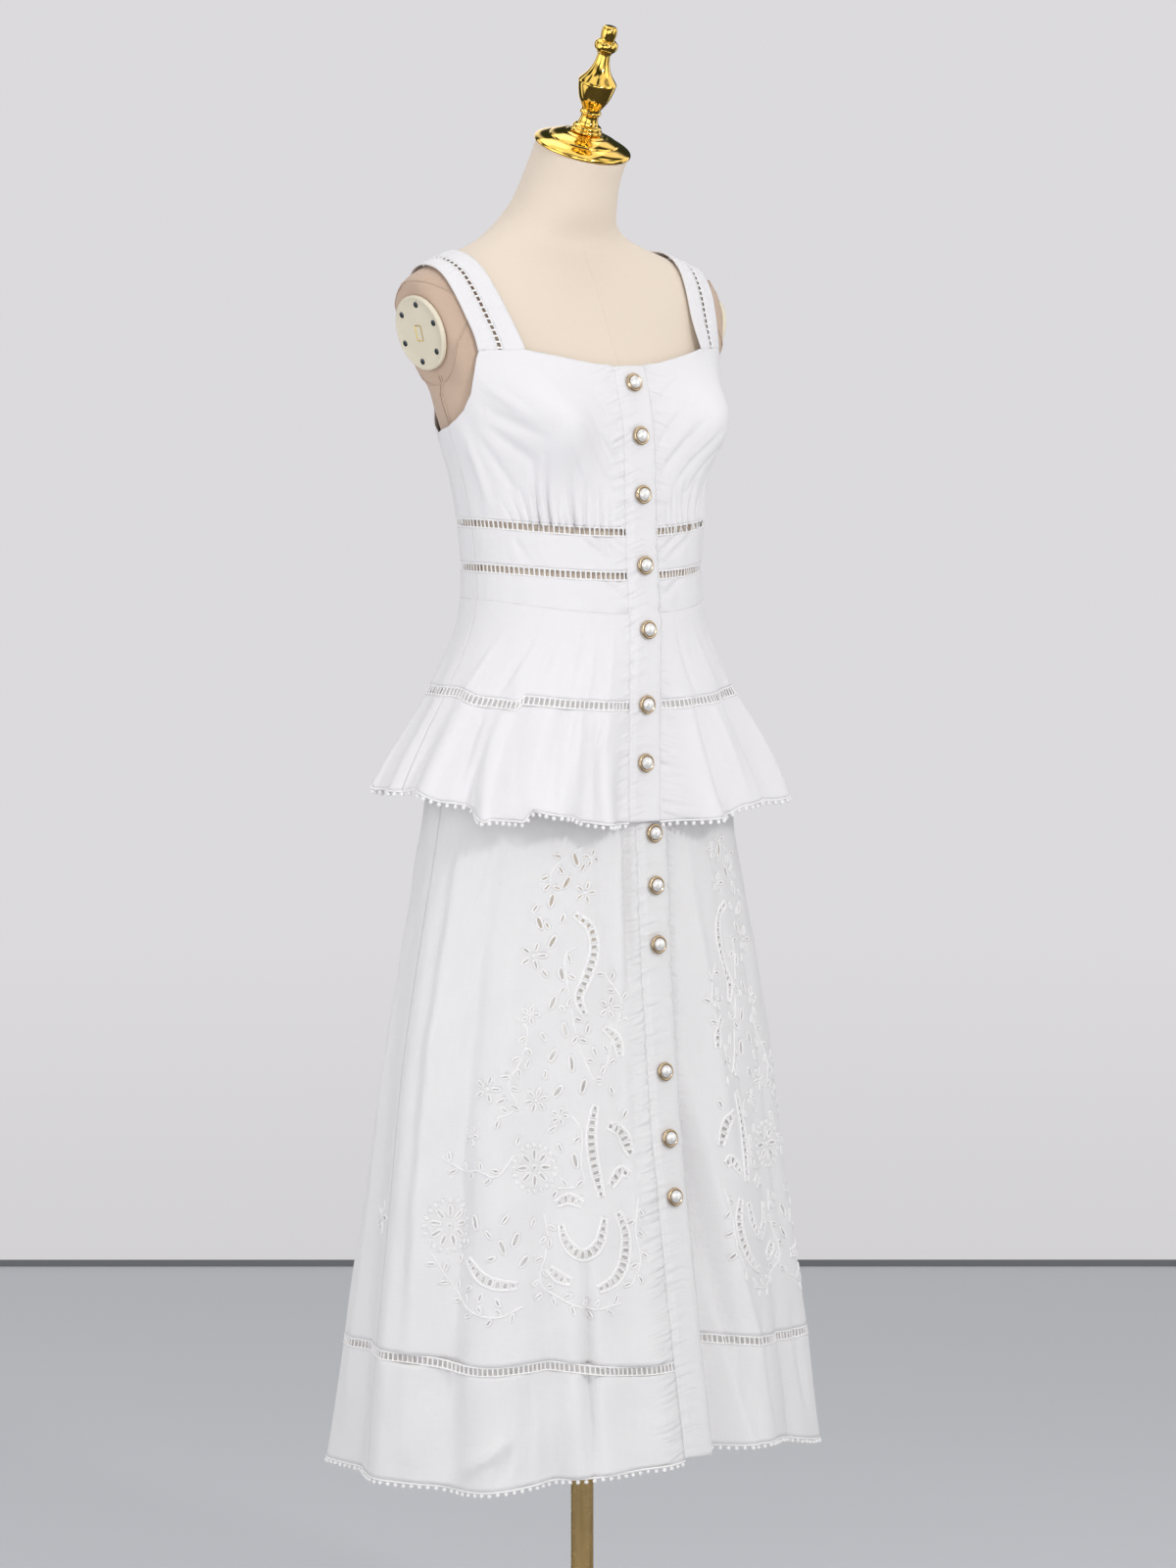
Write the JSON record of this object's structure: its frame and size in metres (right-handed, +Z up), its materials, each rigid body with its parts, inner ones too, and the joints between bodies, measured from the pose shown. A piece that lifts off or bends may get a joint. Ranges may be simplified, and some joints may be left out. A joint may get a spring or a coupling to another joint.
{
  "type": "button-front eyelet midi dress on a limbless dress form",
  "caption": "Sleeveless white cutwork midi dress with ladder straps, peplum, button placket and hem band, on a limbless padded form with a turned cap, pole and round base.",
  "frame": {"origin": "middle of the round base's underside, on the floor", "axes": "+Z up, the dress faces -Y, the wearer's left is +X"},
  "size_m": [0.5139, 0.4085, 1.6821],
  "materials": {
    "cotton": "matte woven cotton with embroidered cutwork",
    "openwork": "matte cotton ladder and picot thread work",
    "linen": "matte stretched cover over a padded form",
    "gold": "polished gold-coloured metal",
    "pearl": "pearly dome in a thin gold-coloured rim"
  },
  "bodies": {
    "root": {"form_torso": "linen", "neck_cap": "gold", "finial": "gold", "arm_plate_right": "linen", "arm_plate_left": "linen", "pole": "gold", "stand_base": "gold", "strap_right_outer_tape": "cotton", "strap_right_ladder": "openwork", "strap_right_inner_tape": "cotton", "strap_left_outer_tape": "cotton", "strap_left_ladder": "openwork", "strap_left_inner_tape": "cotton", "bodice_front_right": "cotton", "bodice_front_left": "cotton", "bodice_back": "cotton", "waistband_upper_front_right": "cotton", "waistband_upper_front_left": "cotton", "waistband_upper_back": "cotton", "waistband_lower_front_right": "cotton", "waistband_lower_front_left": "cotton", "waistband_lower_back": "cotton", "peplum_upper_front_right": "cotton", "peplum_upper_front_left": "cotton", "peplum_upper_back": "cotton", "peplum_ruffle_front_right": "cotton", "peplum_ruffle_front_left": "cotton", "peplum_ruffle_back": "cotton", "hem_band_front_right": "cotton", "hem_band_front_left": "cotton", "hem_band_back": "cotton", "skirt_front_right": "cotton", "skirt_front_left": "cotton", "skirt_back": "cotton", "placket_upper": "cotton", "placket_skirt": "cotton", "ladder_underbust": "openwork", "ladder_waist": "openwork", "ladder_peplum": "openwork", "peplum_trim": "openwork", "ladder_skirt": "openwork", "hem_trim": "openwork", "button_01": "pearl", "button_02": "pearl", "button_03": "pearl", "button_04": "pearl", "button_05": "pearl", "button_06": "pearl", "button_07": "pearl", "button_08": "pearl", "button_09": "pearl", "button_10": "pearl", "button_11": "pearl", "button_12": "pearl", "button_13": "pearl"}
  },
  "joints": []
}
